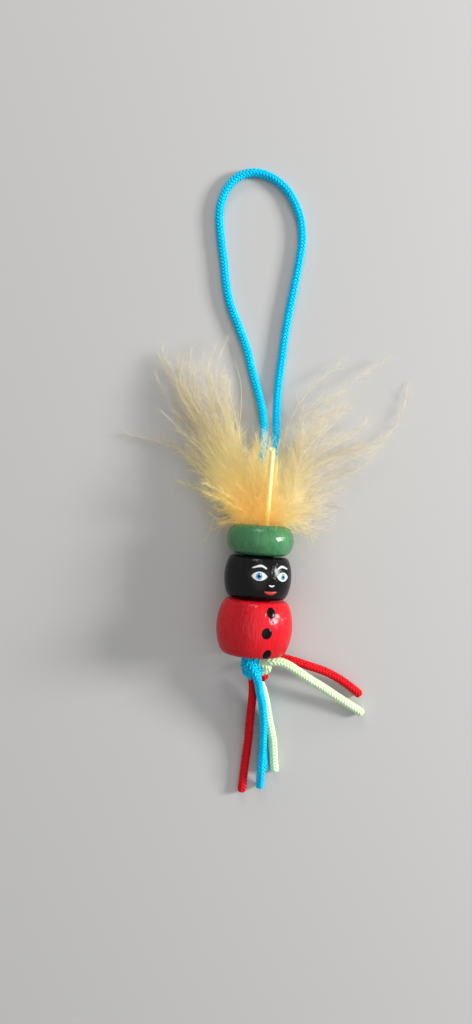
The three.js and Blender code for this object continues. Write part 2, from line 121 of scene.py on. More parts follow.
# A stroke's section: shares of its half width and of its relief, and a lift of its own
STROKE_SECTION = np.array([
    (-1, -0.02, 0), (-0.7, 0.75, 0), (0, 1, 0), (0.7, 0.75, 0), (1, -0.02, 0), (0.5, 0, -0.08),
    (-0.5, 0, -0.08),
])
STROKE_STEP = 0.12
STROKE_END = 0.25
PAINT_FROM_EDGE = 0.1

# Cords
CORD_RADIUS = 1
CARRIERS = 6
BRAID_PITCH = 5.1
WEAVE_SHARPNESS = 1.8
STRAND_WIDTH = 0.6
STRAND_NARROWING = 0.08
STRAND_THICKNESS = 0.38
STRAND_MIDDLE_RADIUS = 0.72
STRAND_LIFT = 0.17
STRAND_SIDES = 8
STRAND_MAP_SHARE = 0.96
CORE_RADIUS = 0.62
CORE_SIDES = 16
FILAMENT_LENGTH = 2.5
FILAMENTS = 11
CUT_END = 0.55
CUT_DRAWS_IN = 0.8
CORD_SIDE = 1.05
STRAND_HEIGHT = 8.5
LOOP_END_INSIDE = 2.5
STRAND_INTO_KNOT = [(0.4, -3.4, 7), (0.75, -1.5, 8)]

# Knot
KNOT_HEIGHT = 6.9
KNOT_SIDE = 0.45
KNOT_RING_RADIUS = 2
KNOT_ROUNDING = 0.55
KNOT_TURNS = 3
KNOT_TURN_POINTS = 16
KNOT_TOP = -1.5
KNOT_BOTTOM = -5.6
KNOT_TILT = 0.4
KNOT_CORE_RADIUS = 1.9
KNOT_CORE_END = 0.02
KNOT_CORE_RINGS = 17
KNOT_CORE_SIDES = 24

# The loop's route: x, y above the hat's top, and the height as a share, which is 0 where the cord
# lies on the floor and 1 where the strands run through the beads
LOOP_ROUTE = [
    (-1.05, 0.3, 1), (-1.05, 4, 0.96), (-0.95, 9, 0.8), (-0.85, 15, 0.59), (-0.85, 21.5, 0.38),
    (-1.5, 27, 0.2), (-2.9, 32, 0.06), (-4.8, 37.4, 0), (-6.6, 43, 0), (-9.3, 49, 0),
    (-11.4, 53.5, 0), (-12.9, 58.7, 0), (-13.8, 64, 0), (-15, 70, 0), (-15.8, 76, 0),
    (-15.1, 80.5, 0), (-13.4, 83.8, 0), (-10.9, 85.9, 0), (-7.9, 86.7, 0), (-4.9, 86.3, 0),
    (-2, 85, 0), (0.6, 82.8, 0), (2.7, 79.8, 0), (4.4, 75.8, 0), (5.1, 71, 0),
    (4.8, 66, 0), (4.1, 60, 0), (3.3, 54, 0), (2.7, 48.5, 0), (2.3, 42.5, 0),
    (1.95, 37, 0.02), (1.8, 32, 0.08), (1.9, 27, 0.21), (2.1, 21.5, 0.39), (1.8, 15, 0.6),
    (1.4, 9, 0.81), (1.05, 4, 0.96), (1.05, 0.3, 1),
]

# Each limb: its body, its yarn, the solids that it replaces, the root hidden in the knot as x, y
# and height, and the free part from its pivot as x, y and the height's share
LIMBS = [
    (
        "front_blue_leg", "blue", ["blue_leg_front"],
        [(-1.4, -2, 6.4), (-1.1, -2.6, 8.2), (0, -3.5, 9.3), (1.1, -4.9, 9.5), (1.9, -6.7, 9.1)],
        [
            (2.4, -8.9, 0.94), (3.3, -12.1, 0.82), (4, -16.8, 0.57), (4.35, -21.9, 0.37),
            (4.45, -26.2, 0.295), (4.45, -30.2, 0.27), (4.5, -32.5, 0.13), (4.5, -34.3, 0.01),
        ],
    ),
    (
        "back_blue_leg", "blue", ["blue_leg_back"],
        [(0.8, -0.6, 7.4), (0.6, -3.5, 6.4), (1, -6.2, 5.2), (1.8, -8, 4.2)],
        [
            (2.3, -8.9, 0.37), (3.4, -12.2, 0.23), (4.3, -16.5, 0.07), (4.85, -22.6, 0),
            (5.2, -28.8, 0), (5.3, -30.2, 0),
        ],
    ),
    (
        "red_leg", "red", ["red_leg"],
        [(1.5, -2, 6.4), (0.4, -5, 6.3), (0.7, -7.3, 5.9)],
        [
            (0.9, -8.9, 0.61), (0.95, -12, 0.48), (0.85, -17.3, 0.28), (0.8, -22.6, 0.12),
            (0.45, -29, 0.01), (0.25, -32.9, 0), (0.1, -35.8, 0),
        ],
    ),
    (
        "green_leg", "green", ["green_leg"],
        [(0.4, -0.7, 7.6), (0.6, -2.6, 7.4), (1.4, -5, 7), (2.4, -7.2, 6.5)],
        [
            (3.2, -8.9, 0.69), (4.1, -11.7, 0.57), (5.3, -16.5, 0.34), (6.8, -22.2, 0.13),
            (7.7, -28.6, 0), (8.05, -30.3, 0),
        ],
    ),
    (
        "green_arm", "green", ["green_arm"],
        [(-0.4, -3.4, 6.6), (1.4, -2.4, 7.2), (3, -1.7, 8.6)],
        [
            (4.4, -1.45, 1.11), (6.8, -1.5, 1.07), (9.2, -2.5, 0.97), (11.3, -3.8, 0.85),
            (14.4, -5.8, 0.67), (17.6, -7.65, 0.49), (20.8, -9.6, 0.33), (24.1, -11.6, 0.17),
            (27.3, -13.5, 0.04), (28.6, -14.3, 0),
        ],
    ),
    (
        "red_arm", "red", ["red_arm", "red_arm_root"],
        [(0.3, -4.7, 6.5), (2.2, -3.7, 6), (4.2, -2.5, 5.5), (5.4, -1.85, 5.4), (6.75, -1.5, 5.3)],
        [
            (8.1, -1.4, 0.56), (9.85, -1.7, 0.54), (11.4, -2.1, 0.51), (14.4, -3, 0.41),
            (17.5, -3.9, 0.31), (20.6, -5.2, 0.2), (23.8, -7, 0.1), (26.8, -9.1, 0.02),
            (27.7, -9.8, 0),
        ],
    ),
]

# The bends of the green and the red cord that bulge out beside the knot
BIGHTS = {
    "green": [(1, -2.2, 6.8), (2.6, -2.4, 8.3), (3.95, -3.3, 8.6), (2.8, -4.3, 7.8), (1, -4.4, 6.6)],
    "red": [(1, -4.6, 6.4), (2.5, -4.8, 7.3), (3.3, -5.4, 7.5), (2.5, -6.1, 7), (1, -6.2, 6.2)],
}

# Quill, in the middle of the feather: its place at the hat's top, and how it leans
QUILL_SIDE = 1.2
QUILL_TIP_SIDE = 1
QUILL_ROOT_HEIGHT = 10.07
QUILL_RISE = 4
QUILL_LENGTH_ABOVE_HAT = 17.7
QUILL_DIAMETER = 1
QUILL_TIP_DIAMETER = 1.3
QUILL_WALL = 0.17
QUILL_HOLLOW_LENGTH = 9
QUILL_CUT_SLANT = 0.3
QUILL_CUT_LENGTH = 1.5
QUILL_BEND = 24.2
QUILL_STEP = 0.3
QUILL_SIDES = 20
SHAFT_SIDE = -1
SHAFT_ABOVE_HAT = -0.8
SHAFT_DIAMETER = 0.7

# Down of the feather
FEATHER_SEED = 11
FEATHER_ROOT = (0, -1.5, 8.6)
ROOT_SPREAD = 0.3
FLOOR_GAP = 0.06
FLOOR_SOFTNESS = 0.35
BARB_STEP = 0.4
BARB_RADIUS = 0.075
BARB_TIP_RADIUS = 0.03
BARB_SIDES = 4
FEWEST_BARB_POINTS = 8
# How a barb leaves its plume's middle line: its place in the plume's width and height, a bend to
# its side, the size and number of its waves, and a bend up or down
BARB_PLACES = (1.25, 1.2)
BARB_BEND = 1.7
BARB_WAVE = (0.1, 0.45)
BARB_WAVES = (0.6, 1.6)
BARB_RISE = (-0.4, 0.7)
# Kinds of barb: how far they wander so, and the length and the density of their hairs
BARBS = {
    "middle": (0.15, 0.95, 1),
    "beside": (1.15, 1, 1),
    "between": (1, 1, 1),
    "short": (1.3, 0.85, 1),
    "tuft": (1, 0.8, 1.2),
}
BETWEEN_PLUMES = (0.15, 0.85)
BETWEEN_LENGTHS = (0.35, 0.85)
LONGEST_BESIDE = 0.99
SHORT_DOWN_BARBS = 20
SHORT_DOWN_LENGTHS = (0.6, 1)
TUFTS = 80
TUFT_FAN = (-76, 96)
TUFT_LENGTHS = (8, 19)
TUFT_END_HEIGHTS = (2, 12)
TUFT_SPREAD = 0.8
RIM_HAIRS = (9, 5)
RIM_REACHES = (10, 15)
# The length and the density of the hairs on the hairs over the hat's rim and on the bare stem
RIM_HAIRINESS = (0.3, 0.15)
STEM_HAIRINESS = (0.5, 0.1)
HAIR_RADIUS = 0.026
HAIR_TIP_SHARE = 0.45
HAIR_THINNING = 0.5
HAIR_POINTS = 5
HAIR_SIDES = 3
HAIR_LENGTH = 3.9
HAIR_LENGTHS = (0.45, 1.2)
HAIRS_PER_MM = 8
HAIRS_FROM_ROOT = 1.8
# A hair's turn about its barb, and how far it stands off the barb, in radians
HAIR_ROLL = 0.75
HAIR_OPENS = (0.45, 1.2)
HAIR_TURNS_ALONG, HAIR_BEND, HAIR_CURL = 0.22, 0.3, 0.07
HAIR_SWINGS = (0.5, 1.1)
HAIR_TIP_PALER = 0.12
DYE_CHANCE = 0.03
DYE_INNER, DYE_OUTER = 6, 40
# Painted light: the down grows paler towards +x, the side lit from the right
PAINTED_LIGHT_RIGHT = 1.4
BARB_TONES = (0.3, 0.6)
HAIR_TONES = (0, 0.97)
TONE_BAND = 0.02
# The plumes' middle lines go from the hat's hole outwards. Each point is x, y above the hat's top,
# the height, and half the plume's width and height.
PLUMES = {
    "feather_left_vane": [
        [
            (-4.6, 3.5, 7.6, 1.1, 1.2), (-6.9, 13.5, 6.9, 1.9, 1.3), (-10.3, 23.9, 5.2, 2.1, 1),
            (-12.7, 30.5, 4.2, 1.7, 0.8), (-13.7, 37.5, 3.6, 1.3, 0.6), (-11.6, 45.5, 3.2, 0.4, 0.3),
        ],
        [
            (-5, 3.5, 7.2, 1.2, 1.2), (-8.2, 13.5, 6.4, 2.2, 1.3), (-13.5, 22.7, 5.2, 2.2, 1),
            (-17.8, 29.5, 4.4, 1.8, 0.8), (-19.8, 35, 4, 1.4, 0.6), (-19.6, 42, 3.6, 0.4, 0.3),
        ],
        [
            (-5, 3, 6.5, 1.2, 1.2), (-9.2, 11.5, 5.8, 2.3, 1.3), (-13.5, 20.5, 4.4, 2.3, 1),
            (-19.4, 27.2, 3.4, 1.9, 0.8), (-24.4, 35, 2.2, 1.3, 0.6), (-27.6, 41.6, 1.4, 0.4, 0.3),
        ],
        [
            (-5, 2.5, 5.8, 1.2, 1.2), (-9.5, 8.5, 5, 2.3, 1.3), (-15, 12.8, 4, 2.4, 1),
            (-22.4, 17.4, 2.3, 1.8, 0.8), (-27.8, 18.8, 1.3, 1.2, 0.6), (-34.5, 19.9, 0.6, 0.4, 0.3),
        ],
        [
            (-5.2, 2.6, 5, 1.1, 1), (-9.5, 4.6, 4, 1.9, 1.2), (-14.5, 7, 2.2, 1.7, 0.9),
            (-21, 9, 0.6, 0.4, 0.3),
        ],
    ],
    "feather_right_vane": [
        [
            (5, 3.5, 8, 1, 1.2), (5.9, 13, 7.6, 1.6, 1.3), (6.7, 21, 6.6, 1.4, 0.9),
            (7.8, 29.5, 5.6, 0.4, 0.3),
        ],
        [
            (5, 3.5, 7.6, 1, 1.2), (6, 12, 6.9, 1.7, 1.3), (7.7, 21.5, 5.2, 2, 1),
            (11.2, 28.2, 4.4, 1.8, 0.8), (19.5, 36.2, 3, 1.5, 0.6), (28.5, 43.5, 2, 0.4, 0.3),
        ],
        [
            (5.4, 3, 7, 1.2, 1.2), (9, 13, 6.4, 2.2, 1.3), (14.8, 20.2, 5.2, 2, 1),
            (22.5, 25.8, 4.2, 0.5, 0.3),
        ],
        [
            (5.4, 3, 5.8, 1.2, 1.2), (9.2, 12, 5, 2.2, 1.3), (14, 15.8, 4.2, 2.2, 1),
            (21, 19.2, 3.4, 1.9, 0.8), (27.4, 22, 2.3, 1.6, 0.7), (31.5, 26.2, 1.6, 1.3, 0.6),
            (33.6, 32.5, 1, 0.9, 0.5), (34.1, 37.5, 0.6, 0.4, 0.3),
        ],
        [
            (5.4, 2.5, 5, 1.2, 1.2), (9.5, 7.5, 4.4, 2.3, 1.3), (14, 11.2, 3.4, 2.1, 1),
            (18.9, 14.3, 1.8, 1.5, 0.7), (23.5, 15.7, 0.7, 0.4, 0.3),
        ],
        [
            (5.5, 2.4, 4.6, 1.1, 1), (9.5, 4.5, 3.8, 1.8, 1.1), (14, 6, 2, 1.6, 0.8),
            (19.6, 6.9, 0.6, 0.4, 0.3),
        ],
    ],
    "feather_front_down": [
        [
            (-0.2, 4, 9.8, 1.4, 0.5), (-0.8, 8, 9.8, 2.1, 1), (-1.1, 12, 9.8, 2.4, 1.3),
            (-1.3, 16, 9.6, 2.4, 1.5), (-1.5, 23.2, 8.7, 1, 0.6),
        ],
    ],
    "feather_back_down": [
        [
            (0.2, 0.5, 5.2, 1.6, 1.3), (0.2, 5.5, 4.4, 2, 2), (0.3, 11.5, 3.2, 2.2, 1.4),
            (0.6, 17.5, 1.9, 2, 0.7), (0.6, 22.5, 1.3, 0.5, 0.3),
        ],
    ],
}
# For each plume of a vane: how many barbs it has beside its longest, the shortest one's share of
# its length, and how many more fill the space before the next plume
FULLNESS = {
    "feather_left_vane": [(9, 0.76, 8), (9, 0.78, 8), (9, 0.72, 10), (4, 0.5, 2), (2, 0.5, 0)],
    "feather_right_vane": [
        (5, 0.5, 6), (3, 0.4, 5), (6, 0.45, 5), (3, 0.4, 4), (5, 0.45, 3), (3, 0.5, 0),
    ],
}
# A bare stem beside the left strand: x, y above the hat's top, and the height
BARE_STEM = [
    (-4.6, 3.5, 8), (-6.2, 13.5, 7.6), (-6.9, 22, 7), (-7, 30.2, 6), (-7.6, 34.5, 5.2), (-9.3, 39.3, 4.6),
]

# Lacquer: the grain's and the clouds' scale on each axis in lines a millimetre, the clouds' share,
# where in their values the dark colour ends and the light one begins, the range of the speckle that
# shapes the coat, and how far the grain changes the roughness
GRAIN_SCALE = (1.9, 0.22, 1.9)
CLOUD_SCALE = (0.16, 0.1, 0.16)
CLOUD_SHARE = 0.45
GRAIN_RANGE = (0.36, 0.62)
SPECKLE_RANGE = (0.42, 0.64)
GLOSS_RANGE = (0.8, 1.25)
COAT_ROUGHNESS = 0.06
# Lacquers: dark and light colour, roughness, specular level, coat, depth of the grain, and scale and
# depth of the bumps in the coat
LACQUERS = {
    "red": (
        (0.52, 0.003, 0.01), (0.76, 0.008, 0.02), 0.4, 0.02, 0.44, 0.03, (2.1, 0.6, 2.1), 0.04,
    ),
    "black": (
        (0.001, 0.001, 0.0015), (0.003, 0.0025, 0.004), 0.3, 0.02, 0.42, 0.01, (2.8, 2.5, 2.8), 0.016,
    ),
    "green": ((0.03, 0.15, 0.05), (0.07, 0.25, 0.1), 0.28, 0.15, 0.5, 0.02, (2.6, 1.4, 2.6), 0.022),
}
# Paints: colour, roughness and specular level
PAINTS = {
    "white": ((0.82, 0.83, 0.84), 0.35, 0.5),
    "blue": ((0.06, 0.32, 0.6), 0.3, 0.5),
    "red": ((0.55, 0.03, 0.025), 0.35, 0.5),
    "black": ((0.002, 0.002, 0.003), 0.14, 0.14),
}
BRISTLE_SCALE = (1.6, 3.5, 1.6)
BRISTLE_SHADE = 0.86
# Yarns: deep and bright colour
YARNS = {
    "blue": ((0.0, 0.4, 0.8), (0.0, 0.74, 1.0)),
    "red": ((0.5, 0.0, 0.004), (0.88, 0.008, 0.018)),
    "green": ((0.58, 0.87, 0.42), (0.88, 1.0, 0.74)),
}
STREAK_SCALE = (5, 0.25, 5)
HORN_COLOURS = ((1, 0.78, 0.24), (1, 0.9, 0.44))
HORN_GLOW_COLOUR = (1, 0.72, 0.2)
HORN_GLOW = 0.1
# The dye, and a painted glow for the light that the hairs pass on, from the root at 0 to the palest tip at
# 1
DYE = [
    (0, (1, 0.52, 0.05)), (0.22, (1, 0.7, 0.2)), (0.5, (1, 0.84, 0.46)), (1, (0.96, 0.86, 0.62)),
]
PAINTED_GLOW = [
    (0, (0.56, 0.52, 0.18)), (0.15, (0.5, 0.48, 0.2)), (0.34, (0.5, 0.52, 0.28)), (0.75, (0, 0, 0)),
]
PAINTED_GLOW_STRENGTH = 0.28
HAIR_SHADES = (0.82, 1.12)

body_low, body_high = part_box("body_bead")
ORIGIN = np.array([(body_low.x + body_high.x) / 2, body_low.y, 0])


def bead_size(body):
    """The lower face's y, the length, the radius and the axis height of a body's bead."""
    low, high = ((np.array(corner) - ORIGIN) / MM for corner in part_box(f"{body}_bead"))
    return low[1], high[1] - low[1], (high[2] - low[2]) / 2, (high[2] + low[2]) / 2


HAT_TOP = sum(bead_size("hat")[:2])
ABOVE_HAT = np.array([0, HAT_TOP, 0])


def in_frame(points):
    """Points of the doll in millimetres as points of the row frame in metres."""
    return np.asarray(points, float) * MM + ORIGIN


def new_object(name, data):
    thing = bpy.data.objects.new(name, data)
    bpy.context.scene.collection.objects.link(thing)
    return thing


# Node helpers
def new_material(name):
    """A material, its node tree and its shader."""
    material = bpy.data.materials.new(name)
    material.use_nodes = True
    return material, material.node_tree, material.node_tree.nodes["Principled BSDF"]


def set_inputs(node, **values):
    """Sets a node's settings and inputs by name, with _ for a space. An input takes a value, the
    socket that feeds it, or a node, which feeds it from its first output."""
    for name, value in values.items():
        feed = value.outputs[0] if isinstance(value, bpy.types.Node) else value
        if isinstance(feed, bpy.types.NodeSocket):
            node.id_data.links.new(feed, node.inputs[name.replace("_", " ")])
        elif hasattr(node, name):
            setattr(node, name, feed)
        else:
            node.inputs[name.replace("_", " ")].default_value = feed
    return node


def add_node(tree, kind, **values):
    return set_inputs(tree.nodes.new(kind), **values)


def colour_ramp(feed, stops):
    """Colours at places from 0 to 1, for the values of a node or socket."""
    ramp = add_node(feed.id_data, "ShaderNodeValToRGB", Fac=feed)
    elements = ramp.color_ramp.elements
    while len(elements) < len(stops):
        elements.new(0.5)
    for element, (place, colour) in zip(elements, stops):
        element.position = place
        element.color = (*colour, 1)
    return ramp


def noise(at, scale, detail, roughness=0.5):
    """Noise at coordinates from a node or socket, with scale cells to a unit along each axis."""
    mapping = add_node(at.id_data, "ShaderNodeMapping", Vector=at, Scale=scale)
    return add_node(
        at.id_data, "ShaderNodeTexNoise", Vector=mapping, Scale=1.0, Detail=detail, Roughness=roughness
    )


def grain(tree, scale, detail, roughness=0.5):
    """Noise with scale cells to a millimetre along each axis of the object."""
    at = add_node(tree, "ShaderNodeTexCoord").outputs["Object"]
    return noise(at, [s / MM for s in scale], detail, roughness)


def relief(feed, depth, strength=1.0, **values):
    """A normal bumped by a node's values, to a depth."""
    return add_node(
        feed.id_data, "ShaderNodeBump", Height=feed, Distance=depth * MM, Strength=strength, **values
    )


# Materials
def lacquer(name, dark, light, roughness, specular, coat, grain_depth, speckle_scale, speckle_depth):
    """Paint on turned wood: the grain runs along the bead, and shows in the colour and the gloss."""
    material, tree, shader = new_material(name)
    wood = grain(tree, GRAIN_SCALE, 5.0, 0.62)
    cloud = grain(tree, CLOUD_SCALE, 3.0)
    blend = add_node(tree, "ShaderNodeMix", data_type="FLOAT", Factor=CLOUD_SHARE, A=wood, B=cloud)
    speckle = grain(tree, speckle_scale, 1.0)
    low, high = SPECKLE_RANGE
    bumps = add_node(tree, "ShaderNodeMapRange", Value=speckle, From_Min=low, From_Max=high)
    surface = relief(wood, grain_depth, Normal=relief(bumps, speckle_depth))
    low, high = (roughness * share for share in GLOSS_RANGE)
    gloss = add_node(tree, "ShaderNodeMapRange", Value=wood, To_Min=low, To_Max=high)
    set_inputs(
        shader, Base_Color=colour_ramp(blend, list(zip(GRAIN_RANGE, (dark, light)))), Roughness=gloss,
        Normal=surface, Coat_Normal=surface, Specular_IOR_Level=specular, Coat_Weight=coat,
        Coat_Roughness=COAT_ROUGHNESS,
    )
    return material


def grained(shader, streaks, stops, depth, strength, roughness, specular, **values):
    """Gives a shader the colour and the relief of some streaks, and its gloss."""
    set_inputs(
        shader, Base_Color=colour_ramp(streaks, stops), Normal=relief(streaks, depth, strength),
        Roughness=roughness, Specular_IOR_Level=specular, **values,
    )


def paint(name, colour, roughness, specular):
    """Brushed enamel with faint ridges from the bristles."""
    material, tree, shader = new_material(name)
    dim = [c * BRISTLE_SHADE for c in colour]
    ridges = grain(tree, BRISTLE_SCALE, 3.0)
    grained(shader, ridges, [(0.35, dim), (0.6, colour)], 0.03, 1.0, roughness, specular)
    return material


def yarn(name, colour, length):
    """Filaments of a braid of one length. The map's u runs along the cord, and v round its strands."""
    material, tree, shader = new_material(name)
    strands = add_node(tree, "ShaderNodeUVMap", uv_map="OFBake")
    fibre = noise(strands, (length / FILAMENT_LENGTH, 2 * FILAMENTS * CARRIERS, 1), 3.0)
    deep, bright = YARNS[colour]
    grained(shader, fibre, [(0.33, deep), (0.62, bright)], 0.03, 0.6, 0.42, 0.15)
    return material


def quill_horn():
    """Yellow horn with fine streaks along it. A weak glow stands in for the light inside it."""
    material, tree, shader = new_material("quill_horn")
    grained(
        shader, grain(tree, STREAK_SCALE, 3.0), list(zip((0.35, 0.62), HORN_COLOURS)), 0.02, 0.5, 0.3, 0.3,
        Coat_Weight=0.2, Emission_Color=(*HORN_GLOW_COLOUR, 1), Emission_Strength=HORN_GLOW,
    )
    return material


def down_barbs():
    """Dyed down with a painted glow: the map's u is 0 at the root, where the dye is deepest, and 1
    at the palest tip.
    """
    material, tree, shader = new_material("marabou_down")
    along = add_node(tree, "ShaderNodeUVMap", uv_map="OFBake")
    pale, tone = add_node(tree, "ShaderNodeSeparateXYZ", Vector=along).outputs[:2]
    low, high = HAIR_SHADES
    shade = add_node(tree, "ShaderNodeMapRange", Value=tone, To_Min=low, To_Max=high)
    # The dye's colours, paler towards +x as painted light from the right
    dyed_and_painted_light = add_node(tree, "ShaderNodeHueSaturation", Value=shade, Color=colour_ramp(pale, DYE))
    # A painted glow: fine hairs pass on more light from one to the next than the bounces of a render
    # follow
    set_inputs(
        shader, Base_Color=dyed_and_painted_light, Roughness=0.75,
        Emission_Color=colour_ramp(pale, PAINTED_GLOW), Emission_Strength=PAINTED_GLOW_STRENGTH,
    )
    return material


lacquers = {colour: lacquer(f"{colour}_lacquer", *values) for colour, values in LACQUERS.items()}
paints = {colour: paint(f"{colour}_paint", *values) for colour, values in PAINTS.items()}
horn = quill_horn()
down = down_barbs()


# Mesh helpers
def new_piece(name, parts, material, body):
    """A mesh on a body. Each part has its points, arrays of faces that are numbered from its first
    point, and the faces' map corners."""
    first = np.cumsum([0, *(len(points) for points, _, _ in parts)])
    faces = [group + start for (_, groups, _), start in zip(parts, first) for group in groups]
    corners = np.concatenate([group.ravel() for group in faces]).astype(np.int32)
    sizes = np.concatenate([np.full(len(group), group.shape[1]) for group in faces])
    points = in_frame(np.vstack([points for points, _, _ in parts]))
    uvs = np.vstack([group for _, _, groups in parts for group in groups])
    mesh = bpy.data.meshes.new(name)
    mesh.vertices.add(len(points))
    mesh.vertices.foreach_set("co", points.astype(np.float32).ravel())
    mesh.loops.add(len(corners))
    mesh.loops.foreach_set("vertex_index", corners)
    mesh.polygons.add(len(sizes))
    mesh.polygons.foreach_set("loop_start", (np.cumsum(sizes) - sizes).astype(np.int32))
    mesh.polygons.foreach_set("use_smooth", np.ones(len(sizes), bool))
    layer = mesh.uv_layers.new(name="OFBake")
    layer.data.foreach_set("uv", uvs.astype(np.float32).ravel())
    mesh.update(calc_edges=True)
    mesh.validate()
    mesh.materials.append(material)
    piece = new_object(name, mesh)
    if body:
        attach(piece, body)
    return piece


def smooth_line(points, step):
    """Points about a step apart on the centripetal Catmull-Rom curve through the given ones."""
    p = np.asarray(points, float)
    p = np.vstack([2 * p[0] - p[1], p, 2 * p[-1] - p[-2]])
    dense = []
    for a, b, c, d in zip(p[:-3], p[1:-2], p[2:-1], p[3:]):
        t1 = np.linalg.norm(b - a) ** 0.5
        t2 = t1 + np.linalg.norm(c - b) ** 0.5
        t3 = t2 + np.linalg.norm(d - c) ** 0.5
        t = np.linspace(t1, t2, 24, endpoint=False)[:, None]
        ab = (t1 - t) / t1 * a + t / t1 * b
        bc = (t2 - t) / (t2 - t1) * b + (t - t1) / (t2 - t1) * c
        cd = (t3 - t) / (t3 - t2) * c + (t - t2) / (t3 - t2) * d
        abc = (t2 - t) / t2 * ab + t / t2 * bc
        bcd = (t3 - t) / (t3 - t1) * bc + (t - t1) / (t3 - t1) * cd
        dense.append((t2 - t) / (t2 - t1) * abc + (t - t1) / (t2 - t1) * bcd)
    dense = np.vstack([*dense, p[-2:-1]])
    along = np.concatenate([[0], np.cumsum(np.linalg.norm(np.diff(dense, axis=0), axis=1))])
    at = np.linspace(0, along[-1], max(2, round(along[-1] / step) + 1))
    return np.stack([np.interp(at, along, dense[:, k]) for k in range(3)], axis=1), along[-1]


def unit(vectors):
    return vectors / np.maximum(np.linalg.norm(vectors, axis=-1, keepdims=True), 1e-12)


def circle(sides):
    """Angles round a circle, in radians."""
    return 2 * math.pi * np.arange(sides) / sides


def turning_frames(line):
    """The tangent and two cross directions at each point of a line, without twist."""
    tangent = unit(np.gradient(line, axis=0))
    side = np.zeros_like(line)
    start = np.array([0, 0, 1.0]) if abs(tangent[0, 2]) < 0.9 else np.array([1.0, 0, 0])
    side[0] = unit(start - (start @ tangent[0]) * tangent[0])
    for i in range(1, len(line)):
        side[i] = unit(side[i - 1] - (side[i - 1] @ tangent[i]) * tangent[i])
    return tangent, side, np.cross(tangent, side)


def rings_about(line, radii, sides, frames=None):
    """The points of round rings about a line, by ring and side."""
    _, side, cross = frames or turning_frames(line)
    angle = -circle(sides)
    offsets = np.cos(angle)[:, None] * side[:, None] + np.sin(angle)[:, None] * cross[:, None]
    return line[:, None] + np.reshape(radii, (-1, 1, 1)) * offsets


def cells(grid):
    """The corners of each cell between neighbours on a grid's second and third axes."""
    return np.stack([grid[:, :-1, :-1], grid[:, 1:, :-1], grid[:, 1:, 1:], grid[:, :-1, 1:]], axis=3)


def tubes(points, u, low=0, band=1):
    """Closed tubes as a part of a piece. The points come by tube, ring and side, or by ring and side.
    The map has u at each ring, and goes from low to low + band round each tube."""
    rings, sides = points.shape[-3:-1]
    numbers = np.arange(points.size // 3).reshape(-1, rings, sides)
    caps = np.stack([numbers[:, 0], numbers[:, -1, ::-1]], axis=1)
    quads = cells(np.pad(numbers, ((0, 0), (0, 0), (0, 1)), mode="wrap"))
    v = np.reshape(low, (-1, 1, 1)) + band * np.arange(sides + 1) / sides
    uvs = np.stack(np.broadcast_arrays(np.reshape(u, (-1, rings, 1)), v), axis=-1)
    groups = [quads.reshape(-1, 4), caps.reshape(-1, sides)]
    return points.reshape(-1, 3), groups, [cells(uvs).reshape(-1, 2), uvs[:, [0, -1], :-1].reshape(-1, 2)]


# Braided cord
def end_shrink(along, length, cut_end):
    """How far the braid draws in towards a cut end, as a share of its radius."""
    near = cut_end * np.clip(1 - (length - along) / CUT_END, 0, 1)
    return np.sqrt(1 - CUT_DRAWS_IN * near**2)


def braid(name, points, colour, body, cut_end=False):
    """A cord of two sets of carriers that pass over two and under two of each other, on a core."""
    crossing = BRAID_PITCH / (2 * CARRIERS)
    line, length = smooth_line(points, crossing / 2)
    tangent, side, cross = turning_frames(line)
    along = np.linspace(0, length, len(line))
    shrink = end_shrink(along, length, cut_end)
    band = 1 / (2 * CARRIERS + 1)
    section = circle(STRAND_SIDES)
    parts = []
    for hand in (1, -1):
        for k in range(CARRIERS):
            angle = hand * 2 * math.pi * along / BRAID_PITCH + 2 * math.pi * k / CARRIERS
            weave = hand * np.sin(math.pi / 2 * (hand * along / crossing + 2 * k) + math.pi / 4)
            weave = np.tanh(WEAVE_SHARPNESS * weave) / math.tanh(WEAVE_SHARPNESS)
            radius = (STRAND_MIDDLE_RADIUS + STRAND_LIFT * weave) * shrink
            out = np.cos(angle)[:, None] * side + np.sin(angle)[:, None] * cross
            slope = hand * 2 * math.pi * radius / BRAID_PITCH
            ahead = unit(tangent + slope[:, None] * np.cross(tangent, out))
            half = STRAND_WIDTH / 2 * (1 - STRAND_NARROWING * (1 - weave)) * shrink
            ring = (line + radius[:, None] * out)[:, None]
            ring = ring + (half[:, None] * np.cos(section))[..., None] * np.cross(ahead, out)[:, None]
            ring = ring + (STRAND_THICKNESS / 2 * np.sin(section))[:, None] * out[:, None]
            parts.append(tubes(ring, along / length, len(parts) * band, STRAND_MAP_SHARE * band))
    middle = line[np.unique([*range(0, len(line), 4), len(line) - 1])]
    along = np.linspace(0, length, len(middle))
    core = rings_about(middle, CORE_RADIUS * end_shrink(along, length, cut_end), CORE_SIDES)
    core_band = STRAND_MAP_SHARE * band
    parts.append(tubes(core, along / length, 1 - core_band, core_band))
    material = yarn(f"{name}_yarn", colour, length)
    return new_piece(name, parts, material, body), in_frame(middle), length * MM


def height(share):
    return CORD_RADIUS + share * (STRAND_HEIGHT - CORD_RADIUS)


def make_loop():
    """The hanging loop, with both ends running a little way into the hat, and its strands inside."""
    route = [(x, HAT_TOP + y, height(share)) for x, y, share in LOOP_ROUTE]
    first, last = route[0], route[-1]
    inside = HAT_TOP - LOOP_END_INSIDE
    route = [(first[0], inside, first[2]), *route, (last[0], inside, last[2])]
    loop, path, length = braid("hanging_loop_braid", route, "blue", "cord")
    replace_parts(loop, "hanging_loop")
    for name, side in (("left_strand", -CORD_SIDE), ("right_strand", CORD_SIDE)):
        into_knot = [(side * x, y, z) for x, y, z in STRAND_INTO_KNOT]
        route = [*into_knot, (side, 0.4, STRAND_HEIGHT), (side, inside - 0.05, STRAND_HEIGHT)]
        strand, _, _ = braid(f"{name}_braid", route, "blue", "cord")
        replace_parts(strand, name)


